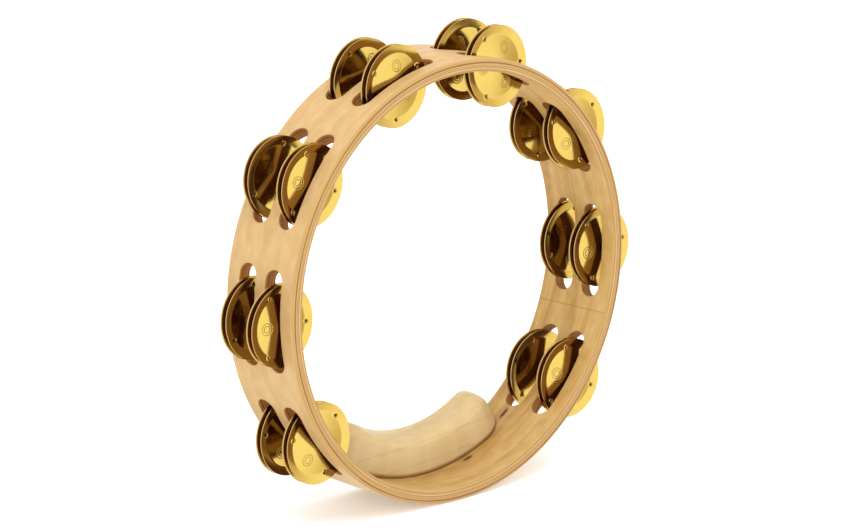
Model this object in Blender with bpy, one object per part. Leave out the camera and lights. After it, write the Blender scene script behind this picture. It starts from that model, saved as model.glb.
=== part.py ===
"""Headless double-row tambourine, modelled as the separate pieces it is built from.

A hoop of bent plywood with sixteen slots in two rows, a shaped hand grip glued inside it, eight
long steel pins that cross both rows, and thirty-two domed brass jingle plates, two on a pin in
each slot. Metres, +Z up. The hoop stands on its rim: its axis is Y, its front rim faces -Y, the
grip is at the bottom, and the origin is on the floor under the middle of the hoop.
"""

import math

import bmesh
import bpy
from mathutils import Matrix, Vector

# Clearance left wherever two pieces touch or one sits inside the other.
TOUCH_GAP = 0.0003

# Hoop: a ten-inch plywood ring.
HOOP_RADIUS = 0.127
HOOP_WALL = 0.0075
HOOP_WIDTH = 0.055
RIM_EASE = 0.0012
HOOP_BORE_RADIUS = HOOP_RADIUS - HOOP_WALL
WALL_MIDDLE_RADIUS = HOOP_RADIUS - HOOP_WALL / 2

# Stations: the places round the hoop where a pin carries its jingles. Angles are measured from
# the top of the hoop, positive towards +X.
STATION_COUNT = 8
STATION_PITCH = math.radians(36.7)
ROW_OFFSET = 0.0108
SLOT_LENGTH = 0.0585
SLOT_WIDTH = 0.0132
SLOT_STRAIGHT_STEPS = 5
SLOT_END_STEPS = 3
BRIDGE_STEPS = 3
GRIP_SPAN_STEPS = 19

# Pins: plain wire pins driven in from the back rim, blind at the front.
PIN_RADIUS = 0.00105
PIN_SINK = 0.0005
PIN_BLIND_WOOD = 0.004
PIN_TIP = 0.0006
PIN_SIDES = 12

# How far each pin stands off the middle of its slots, in millimetres along the hoop, from
# station 1 to 8.
PIN_SHIFT_MM = (0.8, -0.9, -0.6, -1.2, -1.6, -2.3, -2.4, -1.7)

# Jingles: domed discs of sheet brass. Depths are measured away from the partner plate.
JINGLE_RADIUS = 0.0233
JINGLE_HOLE_RADIUS = 0.0024
JINGLE_VALLEY_RADIUS = 0.0182
JINGLE_SHEET = 0.0006
JINGLE_VALLEY_DEPTH = 0.00045
JINGLE_RIM_DEPTH = 0.0017
JINGLE_DOME_DEPTH = 0.0032
JINGLE_SHOULDER_RADIUS = 0.0085
JINGLE_SHOULDER_DEPTH = 0.0021
JINGLE_SIDES = 28

# How each pair of jingles rests on its pin, from station 1 to 8. A pair hangs from the tops of
# its holes, sits a little off the middle of its slot (millimetres towards +Y) and leans by a
# few degrees about X and about Z.
JINGLE_HANG = 0.00085
DRIFT_MM = {
    "front": (-2.2, -2.2, -2.2, -2.2, -1.6, -2.2, -0.6, -2.2),
    "back": (-1.2, -2.2, 2.2, 1.6, 2.2, 2.2, 1.4, 1.5),
}
LEAN_DEGREES = {
    "front": ((-0.5, 1), (0, 4), (0.5, 3.5), (-0.5, 2), (-2.5, 2.5), (-4, 1), (-1.5, 2), (-2, -0.5)),
    "back": ((0, 2), (-2.5, 4), (-2.5, -1), (0, 0), (-1.5, -2), (0.5, -3.5), (-2, 0.5), (-1, -0.5)),
}

# Grip: a wooden block with a rounded top, on the back half of the hoop's inner face. It grows a
# little thicker towards its ends, which are rounded in plan and along the top.
GRIP_HALF_SPAN = math.radians(33.5)
GRIP_BASE_RADIUS = HOOP_BORE_RADIUS * math.cos(math.radians(2.0)) - TOUCH_GAP
GRIP_TOP_RADIUS = 0.0951
GRIP_END_THICKENING = 0.0026
GRIP_FRONT_Y = 0.0046
GRIP_BACK_Y = 0.0268
GRIP_FRONT_ROUND = 0.0122
GRIP_BACK_ROUND = 0.005
GRIP_ROUND_HEIGHT = 0.007
GRIP_ROUND_STEPS = 4
GRIP_PLAN_LENGTH = 0.018
GRIP_PLAN_INSET = 0.0143
GRIP_END_ROUND = 0.0153
GRIP_END_HEIGHT = 0.41
GRIP_MIDDLE_STEPS = 12
GRIP_END_STEPS = 6

PLYWOOD = ("plywood", (0.80, 0.58, 0.34), 0.45, 0.0)
MAPLE = ("maple", (0.83, 0.65, 0.40), 0.42, 0.0)
STEEL = ("pin_steel", (0.22, 0.20, 0.18), 0.40, 1.0)
BRASS = ("jingle_brass", (0.85, 0.62, 0.20), 0.18, 1.0)


def clear_scene():
    """Start from an empty scene."""
    for old_object in list(bpy.data.objects):
        bpy.data.objects.remove(old_object, do_unlink=True)


def make_material(finish):
    """Make one plain finish from its name, colour, roughness and metallic value."""
    name, colour, roughness, metallic = finish
    material = bpy.data.materials.new(name)
    material.use_nodes = True
    shader = material.node_tree.nodes["Principled BSDF"]
    shader.inputs["Base Color"].default_value = (*colour, 1.0)
    shader.inputs["Roughness"].default_value = roughness
    shader.inputs["Metallic"].default_value = metallic
    return material


def hoop_point(angle, radius, y=0.0):
    """A point at an angle from the top of the hoop, a radius from its axis and a place along it."""
    return Vector((radius * math.sin(angle), y, HOOP_RADIUS + radius * math.cos(angle)))


def station_angle(station):
    """The angle of a station, numbered from 1 at the lower left of the front view."""
    return (station - (STATION_COUNT + 1) / 2) * STATION_PITCH


def pin_place(station, y=0.0):
    """A point on a station's pin, at a place along it."""
    shift = PIN_SHIFT_MM[station - 1] / 1000
    return hoop_point(station_angle(station) + shift / WALL_MIDDLE_RADIUS, WALL_MIDDLE_RADIUS, y)


def finish_mesh(name, mesh_data):
    """Turn a bmesh into a mesh whose faces point out and whose round faces shade smooth."""
    bmesh.ops.recalc_face_normals(mesh_data, faces=mesh_data.faces)
    mesh = bpy.data.meshes.new(name)
    mesh_data.to_mesh(mesh)
    mesh_data.free()
    mesh.shade_smooth()
    mesh.set_sharp_from_angle(angle=math.radians(35))
    return mesh


def add_object(name, mesh, material, location=(0.0, 0.0, 0.0), rotation=None):
    """Put a mesh in the scene as one named piece."""
    piece = bpy.data.objects.new(name, mesh)
    bpy.context.scene.collection.objects.link(piece)
    if material is not None and not mesh.materials:
        mesh.materials.append(material)
    if rotation is not None:
        piece.rotation_euler = rotation.to_euler()
    piece.location = location
    return piece


def even_steps(start, end, steps):
    """The points after start of an even division, up to and including end."""
    return [start + (end - start) * step / steps for step in range(1, steps + 1)]


def slot_columns(centre):
    """Angles across one slot from tip to tip, each with the slot's half width there."""
    round_radius = SLOT_WIDTH / 2
    straight = SLOT_LENGTH / 2 - round_radius
    columns = []
    for step in range(SLOT_END_STEPS + 1):
        turn = math.pi / 2 * step / SLOT_END_STEPS
        columns.append((-straight - round_radius * math.cos(turn), round_radius * math.sin(turn)))
    for along in even_steps(-straight, straight, SLOT_STRAIGHT_STEPS):
        columns.append((along, round_radius))
    for step in range(SLOT_END_STEPS - 1, -1, -1):
        turn = math.pi / 2 * step / SLOT_END_STEPS
        columns.append((straight + round_radius * math.cos(turn), round_radius * math.sin(turn)))
    return [(centre + along / HOOP_RADIUS, half_width) for along, half_width in columns]


def hoop_columns():
    """Every cross-section of the hoop in order round it: slots, bridges and the grip's span."""
    columns = []
    for station in range(1, STATION_COUNT + 1):
        slot = slot_columns(station_angle(station))
        if columns:
            bridge = even_steps(columns[-1][0], slot[0][0], BRIDGE_STEPS)
            columns += [(angle, 0.0) for angle in bridge[:-1]]
        columns += slot
    closing = even_steps(columns[-1][0], columns[0][0] + math.tau, GRIP_SPAN_STEPS)
    columns += [(angle, 0.0) for angle in closing[:-1]]
    return columns


def hoop_section(mesh_data, angle, half_width):
    """Vertices of one hoop cross-section by name; at a slot's tip its two sides are one point."""
    rim = HOOP_WIDTH / 2
    places = {}
    for end, side in (("front", -1), ("back", 1)):
        places[end + "_out"] = (HOOP_RADIUS, side * (rim - RIM_EASE))
        places[end + "_face_out"] = (HOOP_RADIUS - RIM_EASE, side * rim)
        places[end + "_face_in"] = (HOOP_BORE_RADIUS + RIM_EASE, side * rim)
        places[end + "_in"] = (HOOP_BORE_RADIUS, side * (rim - RIM_EASE))
    for row, side in (("front_row", -1), ("back_row", 1)):
        for skin, radius in (("_out", HOOP_RADIUS), ("_in", HOOP_BORE_RADIUS)):
            places[row + "_low" + skin] = (radius, side * ROW_OFFSET - half_width)
            places[row + "_high" + skin] = (radius, side * ROW_OFFSET + half_width)
    section = {}
    made = {}
    for name, place in places.items():
        if place not in made:
            made[place] = mesh_data.verts.new(hoop_point(angle, *place))
        section[name] = made[place]
    return section


SKIN_EDGES = (
    ("front_out", "front_row_low_out"),
    ("front_row_high_out", "back_row_low_out"),
    ("back_row_high_out", "back_out"),
    ("back_out", "back_face_out"),
    ("back_face_out", "back_face_in"),
    ("back_face_in", "back_in"),
    ("back_in", "back_row_high_in"),
    ("back_row_low_in", "front_row_high_in"),
    ("front_row_low_in", "front_in"),
    ("front_in", "front_face_in"),
    ("front_face_in", "front_face_out"),
    ("front_face_out", "front_out"),
)
SLOT_EDGES = (
    ("front_row_low_out", "front_row_low_in"),
    ("front_row_high_in", "front_row_high_out"),
    ("back_row_low_out", "back_row_low_in"),
    ("back_row_high_in", "back_row_high_out"),
)


def build_hoop_mesh():
    """The plywood strip bent into a ring, with its eased rims and its two rows of slots."""
    mesh_data = bmesh.new()
    columns = hoop_columns()
    sections = [hoop_section(mesh_data, *column) for column in columns]
    for index, section in enumerate(sections):
        following = (index + 1) % len(sections)
        next_section = sections[following]
        in_slot = columns[index][1] > 0 or columns[following][1] > 0
        edges = SKIN_EDGES + SLOT_EDGES if in_slot else SKIN_EDGES
        for first, second in edges:
            corners = (section[first], section[second], next_section[second], next_section[first])
            mesh_data.faces.new(corners)
    bmesh.ops.triangulate(mesh_data, faces=mesh_data.faces)
    return finish_mesh("hoop", mesh_data)


def turned_rings(mesh_data, profile, sides):
    """One ring of vertices about the Y axis for each (radius, y) point of a profile."""
    rings = []
    for radius, y in profile:
        ring = []
        for side in range(sides):
            turn = math.tau * side / sides
            ring.append(mesh_data.verts.new((radius * math.cos(turn), y, radius * math.sin(turn))))
        rings.append(ring)
    return rings


def bridge_rings(mesh_data, first, second):
    """Join two rings with the same number of vertices by a band of quads."""
    for index in range(len(first)):
        following = (index + 1) % len(first)
        mesh_data.faces.new((first[index], first[following], second[following], second[index]))


def turned_bar(mesh_data, profile, sides):
    """A solid turned bar along Y with flat ends."""
    rings = turned_rings(mesh_data, profile, sides)
    for first, second in zip(rings, rings[1:]):
        bridge_rings(mesh_data, first, second)
    mesh_data.faces.new(rings[0])
    mesh_data.faces.new(rings[-1])
    return rings


def cut_pin_holes(hoop):
    """Drill the hole of each pin through both rows, in from the back rim and blind at the front."""
    radius = PIN_RADIUS + TOUCH_GAP
    blind_end = -HOOP_WIDTH / 2 + PIN_BLIND_WOOD
    open_end = HOOP_WIDTH / 2 + RIM_EASE
    mesh_data = bmesh.new()
    for station in range(1, STATION_COUNT + 1):
        rings = turned_bar(mesh_data, ((radius, blind_end), (radius, open_end)), PIN_SIDES)
        place = Matrix.Translation(pin_place(station))
        bmesh.ops.transform(mesh_data, matrix=place, verts=rings[0] + rings[1])
    cutter = add_object("pin_hole_cutter", finish_mesh("pin_hole_cutter", mesh_data), None)
    cutter.hide_render = True
    cutter.display_type = "WIRE"
    drill = hoop.modifiers.new("pin_holes", "BOOLEAN")
    drill.operation = "DIFFERENCE"
    drill.solver = "EXACT"
    drill.object = cutter


def build_pin_mesh():
    """A straight wire pin with a slightly pointed front end."""
    front = -HOOP_WIDTH / 2 + PIN_BLIND_WOOD + TOUCH_GAP
    back = HOOP_WIDTH / 2 - PIN_SINK
    profile = ((PIN_RADIUS / 2, front), (PIN_RADIUS, front + PIN_TIP), (PIN_RADIUS, back))
    mesh_data = bmesh.new()
    turned_bar(mesh_data, profile, PIN_SIDES)
    return finish_mesh("pin", mesh_data)


def build_jingle_mesh():
    """A pressed jingle plate: domed middle, valley ring and flared rim, with a hole for the pin."""
    face = (
        (JINGLE_HOLE_RADIUS, JINGLE_DOME_DEPTH),
        (JINGLE_SHOULDER_RADIUS, JINGLE_SHOULDER_DEPTH),
        (JINGLE_VALLEY_RADIUS, JINGLE_VALLEY_DEPTH),
        (JINGLE_RADIUS, JINGLE_RIM_DEPTH),
    )
    outer_face = [(radius, depth + JINGLE_SHEET) for radius, depth in reversed(face)]
    mesh_data = bmesh.new()
    rings = turned_rings(mesh_data, list(face) + outer_face, JINGLE_SIDES)
    for index, ring in enumerate(rings):
        bridge_rings(mesh_data, ring, rings[(index + 1) % len(rings)])
    return finish_mesh("jingle", mesh_data)


def grip_outline(height):
    """The grip's cross-section as fractions of its width and height, from front base to back base."""
    width = GRIP_BACK_Y - GRIP_FRONT_Y
    drop = GRIP_ROUND_HEIGHT / height
    outline = [(0.0, 0.0)]
    for step in range(GRIP_ROUND_STEPS + 1):
        turn = math.pi / 2 * step / GRIP_ROUND_STEPS
        across = GRIP_FRONT_ROUND * (1 - math.cos(turn))
        outline.append((across / width, 1 - drop * (1 - math.sin(turn))))
    for step in range(GRIP_ROUND_STEPS + 1):
        turn = math.pi / 2 * step / GRIP_ROUND_STEPS
        across = GRIP_BACK_ROUND * (1 - math.sin(turn))
        outline.append((1 - across / width, 1 - drop * (1 - math.cos(turn))))
    outline.append((1.0, 0.0))
    return outline


def grip_end_distances():
    """Distances from the grip's end, closer together where its end is rounded."""
    steps = range(GRIP_END_STEPS)
    return [GRIP_PLAN_LENGTH * (1 - math.cos(math.pi / 2 * step / GRIP_END_STEPS)) for step in steps]


def quarter_round(distance, reach):
    """How far a quarter-round has risen at a distance from its end: 0 at the end, 1 past reach."""
    left = max(0.0, 1 - distance / reach)
    return math.sqrt(max(0.0, 1 - left * left))


def build_grip_mesh():
    """The hand grip: one section after another round the bottom of the hoop, rounded at both ends."""
    half_length = GRIP_HALF_SPAN * GRIP_BASE_RADIUS
    middle = half_length - GRIP_PLAN_LENGTH
    first_end = [distance - half_length for distance in grip_end_distances()]
    places = first_end + [-middle] + even_steps(-middle, middle, GRIP_MIDDLE_STEPS)
    places += [-place for place in reversed(first_end)]
    mesh_data = bmesh.new()
    sections = []
    for place in places:
        end_distance = half_length - abs(place)
        plan_inset = GRIP_PLAN_INSET * (1 - quarter_round(end_distance, GRIP_PLAN_LENGTH))
        rise = GRIP_END_HEIGHT + (1 - GRIP_END_HEIGHT) * quarter_round(end_distance, GRIP_END_ROUND)
        height = GRIP_BASE_RADIUS - GRIP_TOP_RADIUS + GRIP_END_THICKENING * (place / half_length) ** 2
        front = GRIP_FRONT_Y + plan_inset
        angle = math.pi - place / GRIP_BASE_RADIUS
        section = []
        for across, up in grip_outline(height):
            y = front + across * (GRIP_BACK_Y - front)
            radius = GRIP_BASE_RADIUS - up * rise * height
            section.append(mesh_data.verts.new(hoop_point(angle, radius, y)))
        sections.append(section)
    for first, second in zip(sections, sections[1:]):
        bridge_rings(mesh_data, first, second)
    mesh_data.faces.new(sections[0])
    mesh_data.faces.new(sections[-1])
    bmesh.ops.triangulate(mesh_data, faces=mesh_data.faces)
    return finish_mesh("hand_grip", mesh_data)


def build_jingles(mesh, material):
    """Two plates, back to back on their pin, in each row of each station."""
    facing = {"fore": Matrix.Rotation(math.pi, 3, "Z"), "aft": Matrix.Identity(3)}
    rows = {"front": -ROW_OFFSET, "back": ROW_OFFSET}
    for station in range(1, STATION_COUNT + 1):
        for row, row_y in rows.items():
            place = pin_place(station, row_y)
            place += Vector((0.0, DRIFT_MM[row][station - 1] / 1000, -JINGLE_HANG))
            lean_x, lean_z = (math.radians(lean) for lean in LEAN_DEGREES[row][station - 1])
            lean = Matrix.Rotation(lean_z, 3, "Z") @ Matrix.Rotation(lean_x, 3, "X")
            for plate, rotation in facing.items():
                name = f"jingle_{station}_{row}_{plate}"
                add_object(name, mesh, material, place, lean @ rotation)


def main():
    """Build the whole instrument."""
    clear_scene()
    hoop = add_object("hoop", build_hoop_mesh(), make_material(PLYWOOD))
    cut_pin_holes(hoop)
    add_object("hand_grip", build_grip_mesh(), make_material(MAPLE))
    pin_mesh = build_pin_mesh()
    steel = make_material(STEEL)
    for station in range(1, STATION_COUNT + 1):
        add_object(f"pin_{station}", pin_mesh, steel, pin_place(station))
    build_jingles(build_jingle_mesh(), make_material(BRASS))


main()
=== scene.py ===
import math

import bmesh
import bpy
import numpy as np
from mathutils import Matrix, Vector


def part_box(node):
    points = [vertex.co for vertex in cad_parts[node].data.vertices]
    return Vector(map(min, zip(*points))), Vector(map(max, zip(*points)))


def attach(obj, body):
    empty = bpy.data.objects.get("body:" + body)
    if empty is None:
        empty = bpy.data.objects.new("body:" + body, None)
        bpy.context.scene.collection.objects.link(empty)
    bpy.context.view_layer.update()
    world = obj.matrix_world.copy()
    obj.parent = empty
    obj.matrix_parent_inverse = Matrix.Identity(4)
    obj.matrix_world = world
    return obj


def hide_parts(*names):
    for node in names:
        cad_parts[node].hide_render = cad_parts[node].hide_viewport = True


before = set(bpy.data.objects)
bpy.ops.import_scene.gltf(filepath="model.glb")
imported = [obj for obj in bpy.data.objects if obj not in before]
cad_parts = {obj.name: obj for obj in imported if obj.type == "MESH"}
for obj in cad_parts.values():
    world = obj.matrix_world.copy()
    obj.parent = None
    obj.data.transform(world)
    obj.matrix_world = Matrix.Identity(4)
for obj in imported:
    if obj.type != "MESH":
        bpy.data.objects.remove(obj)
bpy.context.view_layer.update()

# A tambourine that stands on its rim in a white studio. Every CAD node has one finer piece.

# ---------------------------------------------------------------- sizes, in metres

# The hoop's own sizes come from its CAD box; the wall, rows and slots repeat part.py's.
HOOP_LOW, HOOP_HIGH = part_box("hoop")
HOOP_RADIUS = (HOOP_HIGH.z - HOOP_LOW.z) / 2
HOOP_CENTRE_Z = (HOOP_HIGH.z + HOOP_LOW.z) / 2
HOOP_WIDTH = HOOP_HIGH.y - HOOP_LOW.y
HOOP_WALL = 0.0075
HOOP_BORE = HOOP_RADIUS - HOOP_WALL
WALL_MIDDLE = HOOP_RADIUS - HOOP_WALL / 2
STATION_COUNT = 8
STATION_PITCH = math.radians(36.7)
ROW_OFFSET = 0.0108
SLOT_LENGTH = 0.0585
SLOT_WIDTH = 0.0132
RIM_ROUND_OUT = {-1: 0.0019, 1: 0.0011}
RIM_ROUND_IN = {-1: 0.0012, 1: 0.0010}
SLOT_ROUND = 0.0005

# How finely the hoop is divided.
RIM_ROUND_STEPS = 6
SLOT_ROUND_STEPS = 3
SLOT_STRAIGHT_STEPS = 22
SLOT_END_STEPS = 9
BRIDGE_STEPS = 10
GRIP_SPAN_STEPS = 56

# Pins, and the holes that they stand in at the back rim.
PIN_RADIUS = 0.00105
PIN_HOLE_RADIUS = 0.0013
PIN_FRONT = -HOOP_WIDTH / 2 + 0.0043
PIN_BACK = HOOP_WIDTH / 2 - 0.0005
PIN_SIDES = 24
PIN_HOLE_DEPTH = 0.0045
PIN_HOLE_OVERSHOOT = 0.002

# Jingle plates. Depths are measured away from the partner plate.
JINGLE_RADIUS = 0.02325
JINGLE_HOLE_RADIUS = 0.0024
JINGLE_VALLEY_RADIUS = 0.0182
JINGLE_VALLEY_DEPTH = 0.00045
JINGLE_VALLEY_SOFTNESS = 0.00012
JINGLE_RIM_DEPTH = 0.0017
JINGLE_DOME_DEPTH = 0.0032
JINGLE_DOME_POWER = 1.2
JINGLE_SHEET = 0.0006
JINGLE_EDGE_ROUND = 0.00014
PIP_RADIUS = 0.0187
PIP_LIP_RADIUS = 0.00115
PIP_DEPTH = 0.00042
PIP_LIP_HEIGHT = 0.00030
PIP_LIP_WIDTH = 0.00030
PIP_PIT_RADIUS = 0.00075
# Painted shade: how far round each pip's pit its colour is darkened nearly to black.
PIP_SHADE_RADIUS = 0.00085
PIP_REACH = 0.003
MARK_RADIUS = 0.0115
MARK_RINGS = (0.0033, 0.0019)
MARK_LINE_WIDTH = 0.00018
MARK_LINE_DEPTH = 0.00009
PIP_ANGLES = [math.radians(90 + 120 * index) for index in range(3)]
MARK_ANGLES = [math.radians(30 + 120 * index) for index in range(3)]

# How finely a plate is divided: round it, and in fans of (steps each way, degrees) at its details.
PLATE_SIDES = 90
PLATE_SIDE_GAP = 1.6
PIP_FAN = (12, 0.75)
MARK_FAN = (24, 0.8)

# Grip, as in part.py, with finer rounds.
GRIP_HALF_SPAN = math.radians(33.5)
GRIP_BASE_RADIUS = HOOP_BORE - 0.0001
GRIP_TOP_RADIUS = 0.0951
GRIP_END_THICKENING = 0.0026
GRIP_FRONT_Y = 0.0046
GRIP_BACK_Y = 0.0268
GRIP_FRONT_ROUND = 0.0122
GRIP_BACK_ROUND = 0.005
GRIP_ROUND_HEIGHT = 0.007
GRIP_PLAN_LENGTH = 0.018
GRIP_PLAN_INSET = 0.0143
GRIP_END_ROUND = 0.0153
GRIP_END_HEIGHT = 0.41

# How finely the grip is divided.
GRIP_FRONT_STEPS = 6
GRIP_ROUND_STEPS = 14
GRIP_BACK_STEPS = 4
GRIP_END_STEPS = 24
GRIP_MIDDLE_STEPS = 56

# Camera: a long lens at the front left, a little above.
CAMERA_TARGET = Vector((0.0018, 0.0, 0.1316))
CAMERA_DISTANCE = 2.3188
CAMERA_AZIMUTH = math.radians(-42.92)
CAMERA_ELEVATION = math.radians(14.29)
CAMERA_ROLL = math.radians(0.34)
CAMERA_LENS = 171.13

# Surroundings: plain and white, but reflections see a sweep that brightens towards one
# direction. SWEEP_SPAN holds the dot products with it at the sweep's low and high ends.
WORLD_STRENGTH = 1.02
SWEEP_DIRECTION = (0.35, -0.92, -0.12)
SWEEP_SPAN = (0.62, 0.97)
SWEEP_LOW = 1.60
SWEEP_HIGH = 3.40
SWEEP_LOW_TINT = (0.99, 0.98, 0.93)
SWEEP_HIGH_TINT = (0.915, 1.06, 1.015)

# Soft lights: (name, place, what it faces, side of its square, watts).
SOFTBOXES = (
    ("softbox_left", (-1.7, -1.3, 0.7), (0.0, 0.0, 0.12), 1.2, 12.6),
    ("softbox_right", (1.2, -1.6, 0.9), (0.0, 0.0, 0.12), 1.2, 5.0),
    ("softbox_top", (-0.3, -0.5, 1.8), (0.0, 0.0, 0.05), 1.3, 19.0),
)

# Floor: half of its side, and how strongly it glows.
FLOOR_HALF_SIZE = 6.0
FLOOR_GLOW = 0.22

# Colours, as linear values.
OUTER_LIGHT = (0.495, 0.321, 0.140)
OUTER_DARK = (0.458, 0.287, 0.118)
OUTER_STREAK = (0.412, 0.242, 0.087)
INNER_LIGHT = (0.500, 0.318, 0.104)
INNER_DARK = (0.397, 0.224, 0.061)
INNER_STREAK = (0.332, 0.168, 0.040)
SKIN_FLECK = (0.36, 0.19, 0.07)
SKIN_CLOUD = (0.78, 0.57, 0.31)
KNOT_HALO = (0.34, 0.165, 0.055)
KNOT_CORE = (0.050, 0.014, 0.018)
SEAM_LINE = (0.22, 0.10, 0.035)
GRIP_LIGHT = (0.555, 0.414, 0.213)
GRIP_DARK = (0.498, 0.357, 0.170)
GRIP_STREAK = (0.410, 0.264, 0.110)
GRIP_LINE = (0.36, 0.20, 0.075)
GRIP_CLOUD = (0.78, 0.61, 0.36)
BRASS_BRIGHT = (0.32, 0.197, 0.047)
BRASS_DULL = (0.30, 0.177, 0.039)
BRASS_GRAZING = (0.97, 0.76, 0.32)
BRASS_MARK = (0.10, 0.055, 0.012)
# Partly wear, partly painted highlight: the plate's rim edge is coloured brighter, for the bright line
# along it.
BRASS_EDGE_WEAR_AND_HIGHLIGHT = (0.69, 0.51, 0.30)
# Painted shade: the near-black colour painted into the pips' pits.
BRASS_PIP_SHADE = (0.012, 0.008, 0.004)
BRASS_HAZE = (0.55, 0.60, 1.0)
STEEL_BRIGHT = (0.085, 0.072, 0.060)
STEEL_DARK = (0.035, 0.028, 0.022)
STEEL_RUST = (0.09, 0.045, 0.02)
FLOOR_DARK = (0.93, 0.93, 0.93)
FLOOR_LIGHT = (0.96, 0.96, 0.96)
WHITE = (1.0, 1.0, 1.0)
BLACK = (0.0, 0.0, 0.0)
PLY_PLAIN = (0.38, 0.222, 0.078)
PLY_STREAK = (0.33, 0.175, 0.054)
# Painted shade: multiplies the ply colours of the slot walls, darker and redder, where the slots lie in
# shade.
SLOT_PAINTED_SHADE = (0.90, 0.65, 0.44)

# Ply layers of a cut face, as (part of the wall's thickness from the outer skin, colour).
PLY_STOPS = (
    (0.00, (0.459, 0.295, 0.113)),
    (0.09, (0.459, 0.295, 0.113)),
    (0.12, (0.337, 0.183, 0.058)),
    (0.15, (0.474, 0.310, 0.123)),
    (0.23, (0.398, 0.235, 0.081)),
    (0.27, (0.128, 0.046, 0.012)),
    (0.33, (0.147, 0.054, 0.016)),
    (0.37, (0.413, 0.243, 0.088)),
    (0.44, (0.505, 0.344, 0.148)),
    (0.47, (0.218, 0.098, 0.028)),
    (0.51, (0.444, 0.276, 0.106)),
    (0.60, (0.398, 0.231, 0.079)),
    (0.635, (0.173, 0.071, 0.020)),
    (0.675, (0.459, 0.292, 0.116)),
    (0.735, (0.597, 0.441, 0.218)),
    (0.78, (0.321, 0.168, 0.052)),
    (0.82, (0.459, 0.295, 0.116)),
    (0.88, (0.224, 0.104, 0.030)),
    (0.92, (0.466, 0.302, 0.120)),
    (1.00, (0.428, 0.266, 0.099)),
)

# Knots and stains of the inner veneer: (along, across), half sizes, strength of the dark core
# and of the stain round it. Then the slanted joint of the veneer.
INNER_SPOTS = (
    ((0.3112, 0.0104), (0.0042, 0.0011), 0.95, 0.9),
    ((0.3540, 0.0012), (0.0036, 0.0012), 0.9, 0.9),
    ((0.1141, -0.0199), (0.0030, 0.0018), 0.25, 0.5),
    ((0.3300, 0.0030), (0.0075, 0.0016), 0.0, 0.8),
)
SEAM_ALONG = 0.2337
SEAM_SLOPE = 0.025

# Growth lines of the grip's block: (height in the block, strength). Each fades out a little
# below and above its height, and the ramp that holds them spans GROWTH_HEIGHT.
GROWTH_LINES = ((0.0085, 0.22), (0.0165, 0.30), (0.0215, 0.10), (0.0295, 0.34), (0.0375, 0.16),
                (0.0450, 0.20))
GROWTH_HEIGHT = 0.06
GROWTH_FADE_BELOW = 0.0011
GROWTH_FADE_ABOVE = 0.0004

# How far each plate has turned on its pin, in degrees: (front fore, front aft, back fore, back aft).
PLATE_SPINS = (
    (15, 75, 20, 10),
    (88, 100, 60, 5),
    (72, 15, 50, 80),
    (0, 65, 95, 30),
    (90, 120, 25, 45),
    (10, 40, 110, 65),
    (98, 90, 50, 15),
    (67, 25, 75, 130),
)
PLATES = (("front", "fore"), ("front", "aft"), ("back", "fore"), ("back", "aft"))


# ---------------------------------------------------------------- node helpers


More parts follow.
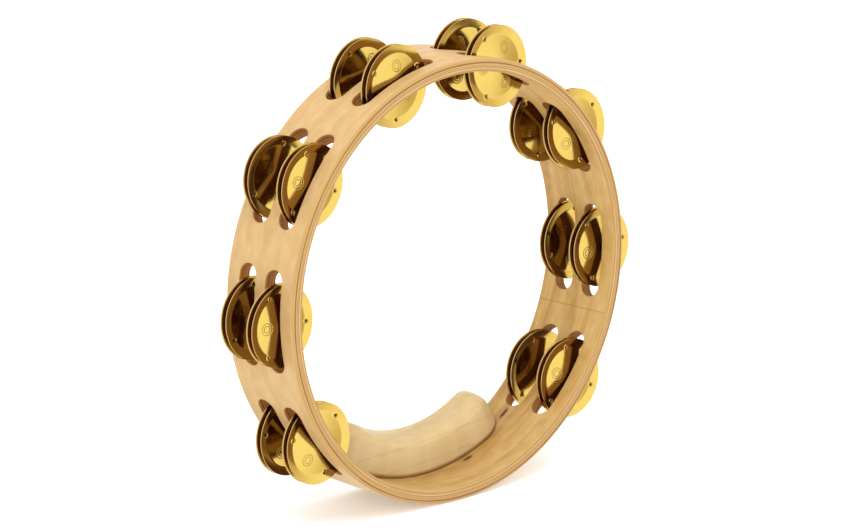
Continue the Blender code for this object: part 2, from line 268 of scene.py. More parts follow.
class Nodes:
    """A small writer for one material's or world's node tree."""

    def __init__(self, tree):
        self.tree = tree

    def add(self, kind, **settings):
        """A new node with some of its settings given."""
        node = self.tree.nodes.new(kind)
        for name, value in settings.items():
            setattr(node, name, value)
        return node

    def put(self, value, socket):
        """Link a socket to another, or give it a constant."""
        if isinstance(value, bpy.types.NodeSocket):
            self.tree.links.new(value, socket)
        elif isinstance(value, (tuple, list)) and len(value) == 3 and socket.type == "RGBA":
            socket.default_value = (*value, 1.0)
        else:
            socket.default_value = value

    def math(self, operation, *values):
        node = self.add("ShaderNodeMath", operation=operation)
        for index, value in enumerate(values):
            self.put(value, node.inputs[index])
        return node.outputs[0]

    def add_vectors(self, first, second):
        node = self.add("ShaderNodeVectorMath", operation="ADD")
        self.put(first, node.inputs[0])
        self.put(second, node.inputs[1])
        return node.outputs[0]

    def scaled(self, along, across, deep):
        """A vector from three (value, factor) pairs, or from plain values."""
        parts = [self.math("MULTIPLY", *part) if isinstance(part, tuple) else part
                 for part in (along, across, deep)]
        return self.combine(*parts)

    def combine(self, x, y, z):
        node = self.add("ShaderNodeCombineXYZ")
        for index, value in enumerate((x, y, z)):
            self.put(value, node.inputs[index])
        return node.outputs[0]

    def separate(self, vector):
        node = self.add("ShaderNodeSeparateXYZ")
        self.put(vector, node.inputs[0])
        return node.outputs

    def noise(self, vector, scale=1.0, detail=2.0, roughness=0.5):
        node = self.add("ShaderNodeTexNoise")
        self.put(vector, node.inputs["Vector"])
        node.inputs["Scale"].default_value = scale
        node.inputs["Detail"].default_value = detail
        node.inputs["Roughness"].default_value = roughness
        return node.outputs["Fac"]

    def length(self, x, y):
        """The length of a flat vector."""
        square = self.math("ADD", self.math("MULTIPLY", x, x), self.math("MULTIPLY", y, y))
        return self.math("SQRT", square)

    def smooth(self, value, start, end, low=0.0, high=1.0):
        """Value mapped smoothly from start..end to low..high."""
        node = self.add("ShaderNodeMapRange", interpolation_type="SMOOTHSTEP")
        for name, number in (("Value", value), ("From Min", start), ("From Max", end),
                             ("To Min", low), ("To Max", high)):
            self.put(number, node.inputs[name])
        return node.outputs[0]

    def mix(self, factor, first, second, blend="MIX"):
        node = self.add("ShaderNodeMix", data_type="RGBA", blend_type=blend)
        self.put(factor, node.inputs[0])
        self.put(first, node.inputs[6])
        self.put(second, node.inputs[7])
        return node.outputs[2]

    def ramp(self, value, stops):
        """A colour ramp through stops of (position, colour)."""
        node = self.add("ShaderNodeValToRGB")
        self.put(value, node.inputs[0])
        elements = node.color_ramp.elements
        for element, (position, colour) in zip(elements, (stops[0], stops[-1])):
            element.position = position
            element.color = (*colour, 1.0)
        for position, colour in stops[1:-1]:
            elements.new(position).color = (*colour, 1.0)
        return node.outputs[0]

    def bump(self, height, distance, strength=1.0, normal=None):
        node = self.add("ShaderNodeBump")
        self.put(height, node.inputs["Height"])
        node.inputs["Distance"].default_value = distance
        node.inputs["Strength"].default_value = strength
        if normal is not None:
            self.put(normal, node.inputs["Normal"])
        return node.outputs[0]

    def attribute(self, name, output="Vector"):
        return self.add("ShaderNodeAttribute", attribute_name=name).outputs[output]


def new_material(name):
    """A material with its tree's writer and its Principled shader."""
    material = bpy.data.materials.new(name)
    material.use_nodes = True
    return material, Nodes(material.node_tree), material.node_tree.nodes["Principled BSDF"]


# ---------------------------------------------------------------- materials


def wood_figure(nodes, along, across, deep, seed):
    """Wood figure in strip coordinates: (fine streaks, broad bands, mottling), each about 0 to 1."""
    layer = nodes.math("MULTIPLY_ADD", deep, 500.0, seed)
    fine = nodes.noise(nodes.scaled((along, 24.0), (across, 1500.0), layer), detail=3.0, roughness=0.6)
    warp = nodes.noise(nodes.scaled((along, 9.0), (across, 30.0), seed + 5.0))
    warped = nodes.math("MULTIPLY_ADD", across, 190.0, nodes.math("MULTIPLY", warp, 5.0))
    broad = nodes.noise(nodes.scaled((along, 5.0), warped, seed + 9.0), roughness=0.55)
    mottle = nodes.noise(nodes.scaled((along, 110.0), (across, 170.0), seed + 3.0), detail=3.0)
    return fine, broad, mottle


def spot(nodes, along, across, centre, size, edge):
    """A soft elongated spot, 1 in the middle: for knots and stains in the veneer."""
    dx = nodes.math("DIVIDE", nodes.math("SUBTRACT", along, centre[0]), size[0])
    dy = nodes.math("DIVIDE", nodes.math("SUBTRACT", across, centre[1]), size[1])
    wobble = nodes.noise(nodes.scaled((along, 600.0), (across, 900.0), 0.0))
    reach = nodes.math("ADD", nodes.length(dx, dy), nodes.math("MULTIPLY_ADD", wobble, 0.7, -0.35))
    return nodes.smooth(reach, 1.0 - edge, 1.0 + edge, 1.0, 0.0)


def hoop_material():
    """Bent plywood: pale outer veneer, browner inner veneer, ply layers on every cut face, and painted
    shade on the slot walls.
    """
    material, nodes, shader = new_material("hoop_plywood")
    along, across, deep = nodes.separate(nodes.attribute("strip"))[:3]
    fine, broad, mottle = wood_figure(nodes, along, across, deep, 1.7)

    outer = nodes.mix(nodes.smooth(broad, 0.3, 0.75), OUTER_LIGHT, OUTER_DARK)
    outer = nodes.mix(nodes.smooth(fine, 0.40, 0.8, 0.0, 0.22), outer, OUTER_STREAK)
    inner = nodes.mix(nodes.smooth(broad, 0.35, 0.7), INNER_LIGHT, INNER_DARK)
    inner = nodes.mix(nodes.smooth(fine, 0.35, 0.75, 0.0, 0.45), inner, INNER_STREAK)
    flecks = nodes.noise(nodes.scaled((along, 260.0), (across, 2600.0), 4.0), detail=1.0)
    is_inner = nodes.smooth(deep, HOOP_WALL * 0.45, HOOP_WALL * 0.55)
    skin = nodes.mix(is_inner, outer, inner)
    skin = nodes.mix(nodes.smooth(flecks, 0.70, 0.80, 0.0, 0.22), skin, SKIN_FLECK)
    skin = nodes.mix(nodes.smooth(mottle, 0.3, 0.8, 0.0, 0.20), skin, SKIN_CLOUD)

    for centre, size, strength, stain in INNER_SPOTS:
        halo = spot(nodes, along, across, centre, (size[0] * 1.9, size[1] * 2.3), 0.9)
        core = spot(nodes, along, across, centre, size, 0.4)
        halo = nodes.math("MULTIPLY", halo, nodes.math("MULTIPLY", is_inner, 0.55 * max(strength, stain)))
        core = nodes.math("MULTIPLY", core, nodes.math("MULTIPLY", is_inner, strength))
        skin = nodes.mix(halo, skin, KNOT_HALO)
        skin = nodes.mix(core, skin, KNOT_CORE)
    seam = nodes.math("SUBTRACT", along, nodes.math("MULTIPLY_ADD", across, SEAM_SLOPE, SEAM_ALONG))
    seam = nodes.smooth(nodes.math("ABSOLUTE", seam), 0.0002, 0.0005, 0.45, 0.0)
    skin = nodes.mix(nodes.math("MULTIPLY", seam, is_inner), skin, SEAM_LINE)

    wave = nodes.noise(nodes.scaled((along, 14.0), (across, 20.0), 8.0))
    layer_depth = nodes.math("ADD", deep, nodes.math("MULTIPLY_ADD", wave, 0.0011, -0.00055))
    plies = nodes.ramp(nodes.math("DIVIDE", layer_depth, HOOP_WALL), PLY_STOPS)
    fade = nodes.noise(nodes.scaled((along, 22.0), (deep, 900.0), 3.0))
    plies = nodes.mix(nodes.smooth(fade, 0.42, 0.66, 0.0, 0.5), plies, PLY_PLAIN)
    streaks = nodes.noise(nodes.scaled((along, 40.0), (across, 700.0), (deep, 3600.0)),
                          detail=3.0, roughness=0.65)
    plies = nodes.mix(nodes.smooth(streaks, 0.35, 0.75, 0.0, 0.45), plies, PLY_STREAK)
    # Painted shade on the cut faces inside the slots, not on the rims.
    slot_shade_mask = nodes.smooth(nodes.math("ABSOLUTE", across), 0.0195, 0.0225, 1.0, 0.0)
    plies = nodes.mix(slot_shade_mask, plies, SLOT_PAINTED_SHADE, "MULTIPLY")
    off_skin = nodes.math("MINIMUM", deep, nodes.math("SUBTRACT", HOOP_WALL, deep))
    cut = nodes.smooth(off_skin, 0.00003, 0.00025)
    nodes.put(nodes.mix(cut, skin, plies), shader.inputs["Base Color"])

    rough = nodes.math("ADD", nodes.smooth(fine, 0.2, 0.8, 0.42, 0.54),
                       nodes.math("MULTIPLY", cut, 0.12))
    nodes.put(rough, shader.inputs["Roughness"])
    shader.inputs["Specular IOR Level"].default_value = 0.16
    relief = nodes.math("ADD", nodes.math("MULTIPLY", fine, 0.7),
                        nodes.math("MULTIPLY", streaks, nodes.math("MULTIPLY", cut, 1.2)))
    nodes.put(nodes.bump(relief, 0.00006, 0.6), shader.inputs["Normal"])
    return material


def grip_material():
    """Solid pale maple with a few thin growth lines that run straight through the block."""
    material, nodes, shader = new_material("grip_maple")
    along, across, deep = nodes.separate(nodes.attribute("strip"))[:3]
    fine, broad, mottle = wood_figure(nodes, along, across, deep, 11.3)
    place = nodes.add("ShaderNodeTexCoord").outputs["Object"]
    x, y, z = nodes.separate(place)[:3]
    sweep = nodes.noise(place, scale=22.0, detail=1.0)
    level = nodes.math("ADD", z, nodes.math("MULTIPLY", x, -0.08))
    level = nodes.math("ADD", level, nodes.math("MULTIPLY", y, 0.35))
    level = nodes.math("ADD", level, nodes.math("MULTIPLY_ADD", sweep, 0.006, -0.003))
    line_stops = [(0.0, BLACK)]
    for height, strength in GROWTH_LINES:
        line_stops += [((height - GROWTH_FADE_BELOW) / GROWTH_HEIGHT, BLACK),
                       (height / GROWTH_HEIGHT, (strength,) * 3),
                       ((height + GROWTH_FADE_ABOVE) / GROWTH_HEIGHT, BLACK)]
    line_stops.append((1.0, BLACK))
    line = nodes.ramp(nodes.math("DIVIDE", level, GROWTH_HEIGHT), line_stops)
    colour = nodes.mix(nodes.smooth(broad, 0.3, 0.7), GRIP_LIGHT, GRIP_DARK)
    colour = nodes.mix(nodes.smooth(fine, 0.35, 0.8, 0.0, 0.22), colour, GRIP_STREAK)
    colour = nodes.mix(line, colour, GRIP_LINE)
    colour = nodes.mix(nodes.smooth(mottle, 0.35, 0.8, 0.0, 0.18), colour, GRIP_CLOUD)
    nodes.put(colour, shader.inputs["Base Color"])
    nodes.put(nodes.smooth(fine, 0.2, 0.8, 0.36, 0.46), shader.inputs["Roughness"])
    shader.inputs["Specular IOR Level"].default_value = 0.21
    nodes.put(nodes.bump(fine, 0.00004, 0.5), shader.inputs["Normal"])
    return material


def brass_material():
    """Polished, lacquered sheet brass with hairline turning marks and a stamped ring motif; painted shade
    in the pips' pits, and a brighter edge that is partly wear and partly a painted highlight.
    """
    material, nodes, shader = new_material("jingle_brass")
    local = nodes.attribute("plate")
    x, y, z = nodes.separate(local)[:3]
    own = nodes.add("ShaderNodeObjectInfo").outputs["Random"]
    shifted = nodes.add_vectors(local, nodes.scaled(0.0, (own, 7.0), 0.0))
    ripple = nodes.noise(shifted, scale=70.0, detail=1.0)
    orange_peel = nodes.noise(shifted, scale=900.0)
    hairline = nodes.noise(nodes.scaled((nodes.length(x, z), 5200.0), own, (y, 50.0)))
    stain = nodes.noise(shifted, scale=160.0, detail=4.0, roughness=0.6)

    colour = nodes.mix(nodes.smooth(stain, 0.4, 0.8, 0.0, 0.5), BRASS_BRIGHT, BRASS_DULL)
    mark = nodes.attribute("mark", "Fac")
    pip_shade = nodes.attribute("pip_shade", "Fac")
    edge = nodes.attribute("edge", "Fac")
    colour = nodes.mix(nodes.math("MULTIPLY", mark, 0.85), colour, BRASS_MARK)
    # Brighter rim edge: partly wear, partly painted highlight.
    colour = nodes.mix(nodes.math("MULTIPLY", edge, 0.5), colour, BRASS_EDGE_WEAR_AND_HIGHLIGHT)
    # Painted shade in the pips' pits.
    colour = nodes.mix(nodes.math("MULTIPLY", pip_shade, 0.97), colour, BRASS_PIP_SHADE)
    nodes.put(colour, shader.inputs["Base Color"])
    shader.inputs["Metallic"].default_value = 1.0
    rough = nodes.math("ADD", nodes.smooth(hairline, 0.3, 0.8, 0.11, 0.17),
                       nodes.smooth(stain, 0.5, 0.8, 0.0, 0.03))
    nodes.put(rough, shader.inputs["Roughness"])
    shader.inputs["Specular Tint"].default_value = (*BRASS_GRAZING, 1.0)
    shader.inputs["Sheen Weight"].default_value = 0.02
    shader.inputs["Sheen Tint"].default_value = (*BRASS_HAZE, 1.0)
    shader.inputs["Coat Weight"].default_value = 0.05
    shader.inputs["Coat Roughness"].default_value = 0.08
    waves = nodes.bump(ripple, 0.0006, 0.08)
    grain = nodes.math("ADD", nodes.math("MULTIPLY", orange_peel, 0.5),
                       nodes.math("MULTIPLY", hairline, 0.4))
    nodes.put(nodes.bump(grain, 0.00001, 0.3, waves), shader.inputs["Normal"])
    return material


def steel_material():
    """Dark drawn steel wire."""
    material, nodes, shader = new_material("pin_steel")
    place = nodes.add("ShaderNodeTexCoord").outputs["Object"]
    x, y, z = nodes.separate(place)[:3]
    drawn = nodes.noise(nodes.scaled((x, 4000.0), (y, 60.0), (z, 4000.0)))
    rust = nodes.noise(place, scale=500.0, detail=3.0)
    colour = nodes.mix(nodes.smooth(drawn, 0.3, 0.8), STEEL_BRIGHT, STEEL_DARK)
    colour = nodes.mix(nodes.smooth(rust, 0.6, 0.8, 0.0, 0.4), colour, STEEL_RUST)
    nodes.put(colour, shader.inputs["Base Color"])
    shader.inputs["Metallic"].default_value = 1.0
    nodes.put(nodes.smooth(drawn, 0.2, 0.8, 0.30, 0.45), shader.inputs["Roughness"])
    nodes.put(nodes.bump(drawn, 0.00003, 0.5), shader.inputs["Normal"])
    return material


def floor_material():
    """Pale matt top of a light table, with a barely visible mottle."""
    material, nodes, shader = new_material("studio_floor")
    place = nodes.add("ShaderNodeTexCoord").outputs["Object"]
    cloud = nodes.noise(place, scale=1.5)
    nodes.put(nodes.mix(cloud, FLOOR_DARK, FLOOR_LIGHT), shader.inputs["Base Color"])
    shader.inputs["Roughness"].default_value = 0.8
    shader.inputs["Emission Color"].default_value = (*WHITE, 1.0)
    shader.inputs["Emission Strength"].default_value = FLOOR_GLOW
    return material


# ---------------------------------------------------------------- mesh helpers


def hoop_point(angle, radius, y=0.0):
    """A point at an angle from the hoop's top, a radius from its axis and a place along it."""
    return Vector((radius * math.sin(angle), y, HOOP_CENTRE_Z + radius * math.cos(angle)))


def station_angle(station):
    """A station's angle from the hoop's top: 1 is at the lower left, 8 at the lower right."""
    return (station - (STATION_COUNT + 1) / 2) * STATION_PITCH


def even_steps(start, end, steps):
    """The points after start of an even division, up to and including end."""
    return [start + (end - start) * step / steps for step in range(1, steps + 1)]


def link_object(name, data):
    """A new object in the scene."""
    thing = bpy.data.objects.new(name, data)
    bpy.context.scene.collection.objects.link(thing)
    return thing


def join_rings(mesh_data, first, second):
    """Quads between two closed rings with the same number of points."""
    for side in range(len(first)):
        after = (side + 1) % len(first)
        mesh_data.faces.new((first[side], first[after], second[after], second[side]))


def finish_mesh(mesh_data, name):
    """A mesh from a bmesh, with all its faces pointing outward."""
    bmesh.ops.recalc_face_normals(mesh_data, faces=mesh_data.faces)
    mesh = bpy.data.meshes.new(name)
    mesh_data.to_mesh(mesh)
    mesh_data.free()
    return mesh


def add_piece(name, mesh, material, body, node, place=(0.0, 0.0, 0.0)):
    """Put a mesh in the scene as a piece that stands for a CAD node and rides on its body."""
    piece = link_object(name, mesh)
    piece.location = place
    if not mesh.materials:
        mesh.materials.append(material)
    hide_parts(node)
    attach(piece, body)
    return piece


def smooth_by_area(piece):
    """Smooth shading in which large faces keep their own direction next to small rounds."""
    piece.data.shade_smooth()
    weighted = piece.modifiers.new("weighted_normals", "WEIGHTED_NORMAL")
    weighted.mode = "FACE_AREA"
    weighted.keep_sharp = True


class StripMesh:
    """A bmesh whose corners also carry where they are in the unrolled strip of wood."""

    def __init__(self):
        self.mesh = bmesh.new()
        self.strip = self.mesh.loops.layers.float_vector.new("strip")

    def point(self, angle, radius, y):
        """A point of the hoop, as (vertex, angle, radius, y)."""
        return (self.mesh.verts.new(hoop_point(angle, radius, y)), angle, radius, y)

    def face(self, points, turns=None):
        """A face through points; turns adds whole turns to a point's angle across the joint."""
        kept = []
        for index, point in enumerate(points):
            if all(point[0] is not other[0][0] for other in kept):
                kept.append((point, turns[index] if turns else 0.0))
        if len(kept) < 3:
            return
        face = self.mesh.faces.new([point[0] for point, _ in kept])
        for loop, (point, turn) in zip(face.loops, kept):
            arc = (point[1] + turn) * WALL_MIDDLE
            loop[self.strip] = Vector((arc, point[3], HOOP_RADIUS - point[2]))

    def chain_band(self, first, second, turn=0.0):
        """Quads between two chains with the same number of points."""
        for index in range(len(first) - 1):
            self.face((first[index], first[index + 1], second[index + 1], second[index]),
                      (0.0, 0.0, turn, turn))

    def finish(self, name):
        """The finished mesh."""
        return finish_mesh(self.mesh, name)


# ---------------------------------------------------------------- hoop


def slot_outline(centre):
    """Columns across one slot: (slot middle, along, half width, outward normal along, across)."""
    radius = SLOT_WIDTH / 2
    straight = SLOT_LENGTH / 2 - radius
    columns = []
    for step in range(SLOT_END_STEPS + 1):
        turn = math.pi / 2 * step / SLOT_END_STEPS
        columns.append((-straight - radius * math.cos(turn), radius * math.sin(turn),
                        -math.cos(turn), math.sin(turn)))
    for along in even_steps(-straight, straight, SLOT_STRAIGHT_STEPS):
        columns.append((along, radius, 0.0, 1.0))
    for step in range(SLOT_END_STEPS - 1, -1, -1):
        turn = math.pi / 2 * step / SLOT_END_STEPS
        columns.append((straight + radius * math.cos(turn), radius * math.sin(turn),
                        math.cos(turn), math.sin(turn)))
    return [(centre, *column) for column in columns]


def skin_angle(column):
    """Where a slot column's edge meets the hoop's skin."""
    centre, along, _, normal_along, _ = column
    return centre + (along + normal_along * SLOT_ROUND) / HOOP_RADIUS


def hoop_columns():
    """(angle on the skin, slot column or None) in order round the hoop."""
    columns = []
    for station in range(1, STATION_COUNT + 1):
        slot = slot_outline(station_angle(station))
        if columns:
            bridge = even_steps(columns[-1][0], skin_angle(slot[0]), BRIDGE_STEPS)
            columns += [(angle, None) for angle in bridge[:-1]]
        columns += [(skin_angle(column), column) for column in slot]
    closing = even_steps(columns[-1][0], columns[0][0] + math.tau, GRIP_SPAN_STEPS)
    columns += [(angle, None) for angle in closing[:-1]]
    return columns


def rim_places(side):
    """(radius, y) along a rim's rounded section, from the outer skin to the inner skin."""
    places = []
    face = HOOP_WIDTH / 2
    outer, inner = RIM_ROUND_OUT[side], RIM_ROUND_IN[side]
    turns = [math.pi / 2 * step / RIM_ROUND_STEPS for step in range(RIM_ROUND_STEPS + 1)]
    for turn in turns:
        places.append((HOOP_RADIUS - outer * (1 - math.cos(turn)),
                       side * (face - outer * (1 - math.sin(turn)))))
    for turn in turns:
        places.append((HOOP_BORE + inner * (1 - math.sin(turn)),
                       side * (face - inner * (1 - math.cos(turn)))))
    return places


def slot_side(strip, column, row_y, side):
    """One side of a slot at a column, from the outer skin round both edges to the inner skin."""
    centre, along, half, normal_along, normal_across = column
    levels = []
    for step in range(SLOT_ROUND_STEPS + 1):
        turn = math.pi / 2 * step / SLOT_ROUND_STEPS
        levels.append((SLOT_ROUND * (1 - math.sin(turn)), SLOT_ROUND * (1 - math.cos(turn))))
    path = [(spread, HOOP_RADIUS - depth) for spread, depth in levels]
    path.append((0.0, WALL_MIDDLE))
    path += [(spread, HOOP_BORE + depth) for spread, depth in reversed(levels)]
    chain = []
    for spread, radius in path:
        angle = centre + (along + normal_along * spread) / HOOP_RADIUS
        y = row_y + side * (half + normal_across * spread)
        chain.append(strip.point(angle, radius, y))
    return chain


def hoop_section(strip, angle, column):
    """One cross-section: its rim chains, and its skin points and slot sides for each row."""
    section = {"rows": []}
    for end, side in (("front", -1), ("back", 1)):
        section[end] = [strip.point(angle, radius, y) for radius, y in rim_places(side)]
    for row_y in (-ROW_OFFSET, ROW_OFFSET):
        if column is None:
            edge = [strip.point(angle, HOOP_RADIUS, row_y), strip.point(angle, HOOP_BORE, row_y)]
            section["rows"].append((edge, edge))
        else:
            low = slot_side(strip, column, row_y, -1)
            high = low if column[2] == 0.0 else slot_side(strip, column, row_y, 1)
            section["rows"].append((low, high))
    return section


def hoop_skins(section):
    """The skin lines of a section, outer then inner, as pairs of points to join."""
    (front_low, front_high), (back_low, back_high) = section["rows"]
    outer = ((section["front"][0], front_low[0]), (front_high[0], back_low[0]),
             (back_high[0], section["back"][0]))
    inner = ((section["front"][-1], front_low[-1]), (front_high[-1], back_low[-1]),
             (back_high[-1], section["back"][-1]))
    return outer + inner


def build_hoop_mesh():
    """The plywood hoop with rounded rims and two rows of slots with softened edges."""
    strip = StripMesh()
    columns = hoop_columns()
    sections = [hoop_section(strip, *column) for column in columns]
    for index, section in enumerate(sections):
        following = (index + 1) % len(sections)
        after = sections[following]
        turn = math.tau if following == 0 else 0.0
        strip.chain_band(section["front"], after["front"], turn)
        strip.chain_band(section["back"], after["back"], turn)
        for (first, second), (third, fourth) in zip(hoop_skins(section), hoop_skins(after)):
            strip.face((first, second, fourth, third), (0.0, 0.0, turn, turn))
        column, next_column = columns[index][1], columns[following][1]
        if column and next_column and column[0] == next_column[0]:
            for sides, next_sides in zip(section["rows"], after["rows"]):
                for chain, next_chain in zip(sides, next_sides):
                    strip.chain_band(chain, next_chain)
    return strip.finish("hoop_wood")


def drill_pin_holes(hoop):
    """Open the pin holes in the back rim."""
    cutter_mesh = bmesh.new()
    for station in range(1, STATION_COUNT + 1):
        low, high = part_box(f"pin_{station}")
        centre = Vector(((low.x + high.x) / 2, 0.0, (low.z + high.z) / 2))
        rings = []
        for y in (HOOP_WIDTH / 2 - PIN_HOLE_DEPTH, HOOP_WIDTH / 2 + PIN_HOLE_OVERSHOOT):
            ring = []
            for side in range(PIN_SIDES):
                turn = math.tau * side / PIN_SIDES
                offset = Vector((math.cos(turn), 0.0, math.sin(turn))) * PIN_HOLE_RADIUS
                ring.append(cutter_mesh.verts.new(centre + offset + Vector((0.0, y, 0.0))))
            rings.append(ring)
        join_rings(cutter_mesh, *rings)
        cutter_mesh.faces.new(rings[0])
        cutter_mesh.faces.new(rings[1])
    cutter = link_object("pin_hole_cutter", finish_mesh(cutter_mesh, "pin_hole_cutter"))
    drill = hoop.modifiers.new("pin_holes", "BOOLEAN")
    drill.operation = "DIFFERENCE"
    drill.solver = "EXACT"
    drill.object = cutter
    evaluated = hoop.evaluated_get(bpy.context.evaluated_depsgraph_get())
    drilled = bpy.data.meshes.new_from_object(evaluated)
    hoop.modifiers.remove(drill)
    hoop.data = drilled
    bpy.data.objects.remove(cutter)


# ---------------------------------------------------------------- grip


def grip_outline(height):
    """The grip's cross-section as fractions of its width and height, from front to back base."""
    width = GRIP_BACK_Y - GRIP_FRONT_Y
    drop = GRIP_ROUND_HEIGHT / height
    outline = [(0.0, step / GRIP_FRONT_STEPS * (1 - drop)) for step in range(GRIP_FRONT_STEPS)]
    turns = [math.pi / 2 * step / GRIP_ROUND_STEPS for step in range(GRIP_ROUND_STEPS + 1)]
    for turn in turns:
        across = GRIP_FRONT_ROUND * (1 - math.cos(turn))
        outline.append((across / width, 1 - drop * (1 - math.sin(turn))))
    for turn in turns:
        across = GRIP_BACK_ROUND * (1 - math.sin(turn))
        outline.append((1 - across / width, 1 - drop * (1 - math.cos(turn))))
    outline += [(1.0, (1 - drop) * (1 - step / GRIP_BACK_STEPS))
                for step in range(1, GRIP_BACK_STEPS + 1)]
    return outline


def quarter_round(distance, reach):
    """How far a quarter-round has risen at a distance from its end: 0 at the end, 1 past reach."""
    left = max(0.0, 1 - distance / reach)
    return math.sqrt(max(0.0, 1 - left * left))


def build_grip_mesh():
    """The hand grip, rounded along its top and at both ends."""
    half_length = GRIP_HALF_SPAN * GRIP_BASE_RADIUS
    middle = half_length - GRIP_PLAN_LENGTH
    first_end = [GRIP_PLAN_LENGTH * (1 - math.cos(math.pi / 2 * step / GRIP_END_STEPS)) - half_length
                 for step in range(GRIP_END_STEPS)]
    last_end = [-place for place in reversed(first_end)]
    places = first_end + [-middle] + even_steps(-middle, middle, GRIP_MIDDLE_STEPS) + last_end
    strip = StripMesh()
    sections = []
    for place in places:
        end_distance = half_length - abs(place)
        plan_inset = GRIP_PLAN_INSET * (1 - quarter_round(end_distance, GRIP_PLAN_LENGTH))
        rise = GRIP_END_HEIGHT + (1 - GRIP_END_HEIGHT) * quarter_round(end_distance, GRIP_END_ROUND)
        height = GRIP_BASE_RADIUS - GRIP_TOP_RADIUS + GRIP_END_THICKENING * (place / half_length) ** 2
        front = GRIP_FRONT_Y + plan_inset
        angle = math.pi - place / GRIP_BASE_RADIUS
        section = []
        for across, up in grip_outline(height):
            y = front + across * (GRIP_BACK_Y - front)
            radius = GRIP_BASE_RADIUS - up * rise * height
            section.append(strip.point(angle, radius, y))
        sections.append(section)
    for first, second in zip(sections, sections[1:]):
        strip.chain_band(first, second)
        strip.face((first[-1], first[0], second[0], second[-1]))
    strip.face(sections[0])
    strip.face(sections[-1])
    return strip.finish("grip_wood")


# ---------------------------------------------------------------- pins and jingles


def build_pin_mesh():
    """A wire pin with softened ends, along its own Y axis."""
    profile = ((0.0004, PIN_FRONT), (PIN_RADIUS * 0.8, PIN_FRONT + 0.0002),
               (PIN_RADIUS, PIN_FRONT + 0.0006), (PIN_RADIUS, PIN_BACK - 0.0003),
               (PIN_RADIUS * 0.93, PIN_BACK - 0.0001), (PIN_RADIUS * 0.7, PIN_BACK))
    mesh_data = bmesh.new()
    rings = []
    for radius, y in profile:
        rings.append([mesh_data.verts.new((radius * math.cos(math.tau * side / PIN_SIDES), y,
                                           radius * math.sin(math.tau * side / PIN_SIDES)))
                      for side in range(PIN_SIDES)])
    for first, second in zip(rings, rings[1:]):
        join_rings(mesh_data, first, second)
    mesh_data.faces.new(rings[0])
    mesh_data.faces.new(rings[-1])
    mesh = finish_mesh(mesh_data, "pin_wire")
    mesh.shade_smooth()
    mesh.set_sharp_from_angle(angle=math.radians(50))
    return mesh


def plate_depth(radius):
    """Depth of the plate's inner face: a low cone that meets a flared rim in a rounded valley."""
    dome = JINGLE_VALLEY_DEPTH + (JINGLE_DOME_DEPTH - JINGLE_VALLEY_DEPTH) * (
        1 - (radius / JINGLE_VALLEY_RADIUS) ** JINGLE_DOME_POWER)
    flare = JINGLE_VALLEY_DEPTH + (JINGLE_RIM_DEPTH - JINGLE_VALLEY_DEPTH) * (
        (radius - JINGLE_VALLEY_RADIUS) / (JINGLE_RADIUS - JINGLE_VALLEY_RADIUS))
    rounded = 0.5 * (dome + flare + math.hypot(dome - flare, JINGLE_VALLEY_SOFTNESS))
    return rounded - 0.2 * JINGLE_VALLEY_SOFTNESS


def pip_shape(x, z):
    """(height, painted shade) that the three punched pips add at a point of the plate: the shade darkens
    their pits nearly to black.
    """
    height, dark = 0.0, 0.0
    for angle in PIP_ANGLES:
        distance = math.hypot(x - PIP_RADIUS * math.cos(angle), z - PIP_RADIUS * math.sin(angle))
        if distance < PIP_REACH:
            height += PIP_LIP_HEIGHT * math.exp(-((distance - PIP_LIP_RADIUS) / PIP_LIP_WIDTH) ** 2)
            height -= PIP_DEPTH * math.exp(-(distance / PIP_PIT_RADIUS) ** 4)
            dark = max(dark, math.exp(-(distance / PIP_SHADE_RADIUS) ** 4))
    return height, dark


def mark_shape(x, z):
    """How deep in a stamped line a point is: two rings, one in the other, between the pips."""
    depth = 0.0
    for angle in MARK_ANGLES:
        distance = math.hypot(x - MARK_RADIUS * math.cos(angle), z - MARK_RADIUS * math.sin(angle))
        for ring in MARK_RINGS:
            depth = max(depth, math.exp(-((distance - ring) / MARK_LINE_WIDTH) ** 2))
    return depth


def plate_turns():
    """Angles round the plate: closer together at the pips and the marks."""
    turns = set()
    for angles, (reach, spacing) in ((PIP_ANGLES, PIP_FAN), (MARK_ANGLES, MARK_FAN)):
        for angle in angles:
            for step in range(-reach, reach + 1):
                turns.add(round(math.degrees(angle) + step * spacing, 3) % 360)
    for side in range(PLATE_SIDES):
        turn = side * 360 / PLATE_SIDES
        if all(abs((turn - other + 180) % 360 - 180) > PLATE_SIDE_GAP for other in turns):
            turns.add(turn)
    return [math.radians(turn) for turn in sorted(turns)]


def plate_radii():
    """Radii of the outer face's rings, closer together at the marks, the valley and the pips."""
    radii = [JINGLE_HOLE_RADIUS, 0.0026, 0.0032, 0.0042, 0.0054, 0.0066, 0.0074]
    radii += [0.0078 + 0.00022 * step for step in range(35)]
    radii += [0.0158, 0.0163, 0.0168, 0.0172]
    radii += [0.0175 + 0.0002 * step for step in range(14)]
    radii += [0.0206, 0.0213, 0.0220, 0.0226, 0.0230]
    return radii


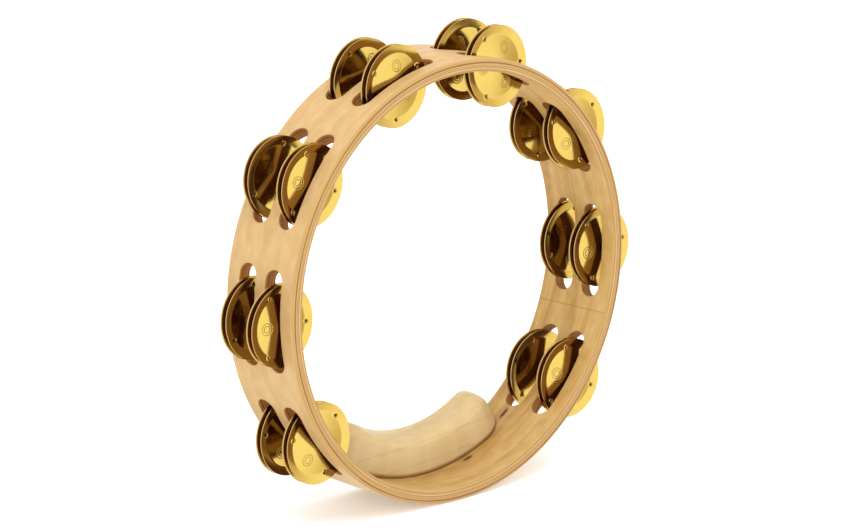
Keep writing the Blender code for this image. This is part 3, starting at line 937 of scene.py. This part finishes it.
def build_plate_mesh():
    """A jingle plate about its own Y axis; its dome faces +Y, away from its partner."""
    turns = plate_turns()
    inner_radii = (JINGLE_HOLE_RADIUS, 0.004, 0.007, 0.010, 0.013, 0.0155, 0.0172, 0.0178, 0.0182,
                   0.0186, 0.0192, 0.0212, 0.0226)
    path = [(radius, "inner") for radius in inner_radii]
    path += [(JINGLE_RADIUS - JINGLE_EDGE_ROUND, "inner"), (JINGLE_RADIUS, "low_edge"),
             (JINGLE_RADIUS, "high_edge"), (JINGLE_RADIUS - JINGLE_EDGE_ROUND, "outer")]
    path += [(radius, "outer") for radius in reversed(plate_radii())]
    mesh_data = bmesh.new()
    layers = {name: mesh_data.verts.layers.float.new(name) for name in ("mark", "pip_shade", "edge")}
    plate = mesh_data.verts.layers.float_vector.new("plate")
    rings = []
    for radius, face in path:
        ring = []
        for turn in turns:
            x, z = radius * math.cos(turn), radius * math.sin(turn)
            depth = plate_depth(radius)
            height, dark = pip_shape(x, z)
            mark = mark_shape(x, z) if face == "outer" else 0.0
            if face == "low_edge":
                depth += JINGLE_EDGE_ROUND
            elif face == "high_edge":
                depth += JINGLE_SHEET - JINGLE_EDGE_ROUND
            elif face == "outer":
                depth += JINGLE_SHEET + height - mark * MARK_LINE_DEPTH
            vertex = mesh_data.verts.new((x, depth, z))
            vertex[layers["mark"]] = mark
            # The painted shade of the pip's pit, kept on the vertex.
            vertex[layers["pip_shade"]] = dark
            vertex[layers["edge"]] = 1.0 if face.endswith("edge") else 0.0
            vertex[plate] = vertex.co
            ring.append(vertex)
        rings.append(ring)
    for index, ring in enumerate(rings):
        join_rings(mesh_data, ring, rings[(index + 1) % len(rings)])
    mesh = finish_mesh(mesh_data, "jingle_plate")
    mesh.shade_smooth()
    mesh.set_sharp_from_angle(angle=math.radians(40))
    return mesh


def plate_frame(node, outward):
    """Where a CAD plate sits: the place on its axis midway to its partner, and its own axes."""
    points = np.array([vertex.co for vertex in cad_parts[node].data.vertices], float)
    low, high = points.min(0), points.max(0)
    middle = (low + high) / 2
    centred = points - points.mean(0)
    _, _, axes = np.linalg.svd(centred, full_matrices=False)
    normal = Vector(axes[2])
    if normal.dot(outward) < 0:
        normal.negate()
    heights = (points - middle) @ np.array(normal)
    origin = Vector(middle) + normal * (heights.min() - JINGLE_VALLEY_DEPTH)
    side = Vector((1.0, 0.0, 0.0))
    side = (side - normal * side.dot(normal)).normalized()
    return origin, side, normal, side.cross(normal)


def add_jingles():
    """Every jingle plate on its CAD plate's place, each with its own mesh laid there."""
    brass = brass_material()
    pattern = build_plate_mesh()
    for station in range(1, STATION_COUNT + 1):
        for (row, plate), spin in zip(PLATES, PLATE_SPINS[station - 1]):
            node = f"jingle_{station}_{row}_{plate}"
            outward = Vector((0.0, -1.0 if plate == "fore" else 1.0, 0.0))
            origin, side, normal, third = plate_frame(node, outward)
            axes = Matrix((side, normal, third)).transposed()
            turn = Matrix.Rotation(math.radians(spin), 3, "Y")
            mesh = pattern.copy()
            mesh.transform(Matrix.Translation(origin) @ (axes @ turn).to_4x4())
            add_piece(f"plate_{station}_{row}_{plate}", mesh, brass, node, node)


def add_pins():
    """Every wire pin, in the middle of its CAD pin."""
    steel = steel_material()
    mesh = build_pin_mesh()
    for station in range(1, STATION_COUNT + 1):
        node = f"pin_{station}"
        low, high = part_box(node)
        place = ((low.x + high.x) / 2, 0.0, (low.z + high.z) / 2)
        add_piece(f"pin_wire_{station}", mesh, steel, "hoop_body", node, place)


# ---------------------------------------------------------------- studio


def add_floor():
    """A wide pale floor under the hoop."""
    mesh_data = bmesh.new()
    bmesh.ops.create_grid(mesh_data, x_segments=1, y_segments=1, size=FLOOR_HALF_SIZE)
    mesh = bpy.data.meshes.new("studio_floor")
    mesh_data.to_mesh(mesh)
    mesh_data.free()
    floor = link_object("studio_floor", mesh)
    mesh.materials.append(floor_material())
    floor.visible_glossy = False


def add_softbox(name, place, target, size, power):
    """A soft square light that faces a target and stays out of reflections."""
    light = bpy.data.lights.new(name, "AREA")
    light.shape = "SQUARE"
    light.size = size
    light.energy = power
    lamp = link_object(name, light)
    lamp.location = place
    lamp.rotation_euler = (Vector(target) - Vector(place)).to_track_quat("-Z", "Y").to_euler()
    lamp.visible_glossy = False


def add_world():
    """Even white surroundings; reflections see the sweep in front of the hoop."""
    world = bpy.data.worlds.new("studio")
    bpy.context.scene.world = world
    world.use_nodes = True
    nodes = Nodes(world.node_tree)
    direction = nodes.add("ShaderNodeTexCoord").outputs["Generated"]
    x, y, z = nodes.separate(direction)[:3]
    facing = nodes.math("MULTIPLY", x, SWEEP_DIRECTION[0])
    facing = nodes.math("MULTIPLY_ADD", y, SWEEP_DIRECTION[1], facing)
    facing = nodes.math("MULTIPLY_ADD", z, SWEEP_DIRECTION[2], facing)
    sweep = nodes.smooth(facing, *SWEEP_SPAN, SWEEP_LOW, SWEEP_HIGH)
    tint = nodes.mix(nodes.smooth(facing, *SWEEP_SPAN), SWEEP_LOW_TINT, SWEEP_HIGH_TINT)
    is_glossy = nodes.add("ShaderNodeLightPath").outputs["Is Glossy Ray"]
    strength = nodes.add("ShaderNodeMix", data_type="FLOAT")
    nodes.put(is_glossy, strength.inputs[0])
    strength.inputs[2].default_value = WORLD_STRENGTH
    nodes.put(sweep, strength.inputs[3])
    background = world.node_tree.nodes["Background"]
    nodes.put(nodes.mix(is_glossy, WHITE, tint), background.inputs["Color"])
    nodes.put(strength.outputs[0], background.inputs["Strength"])


def add_camera():
    """The camera, aimed at its target from the front left and tilted by its roll."""
    data = bpy.data.cameras.new("camera")
    data.lens = CAMERA_LENS
    data.sensor_width = 36.0
    data.clip_end = 50.0
    camera = link_object("camera", data)
    flat = math.cos(CAMERA_ELEVATION)
    back = Vector((math.sin(CAMERA_AZIMUTH) * flat, -math.cos(CAMERA_AZIMUTH) * flat,
                   math.sin(CAMERA_ELEVATION)))
    camera.location = CAMERA_TARGET + back * CAMERA_DISTANCE
    aim = (-back).to_track_quat("-Z", "Y")
    camera.rotation_euler = (aim.to_matrix() @ Matrix.Rotation(CAMERA_ROLL, 3, "Z")).to_euler()
    bpy.context.scene.camera = camera


def main():
    """The studio, then every piece of the tambourine."""
    add_camera()
    add_world()
    add_floor()
    for softbox in SOFTBOXES:
        add_softbox(*softbox)
    hoop = add_piece("hoop_wood", build_hoop_mesh(), hoop_material(), "hoop_body", "hoop")
    drill_pin_holes(hoop)
    smooth_by_area(hoop)
    grip = add_piece("grip_wood", build_grip_mesh(), grip_material(), "hoop_body", "hand_grip")
    smooth_by_area(grip)
    add_pins()
    add_jingles()
    bpy.context.scene.view_settings.view_transform = "Standard"


main()
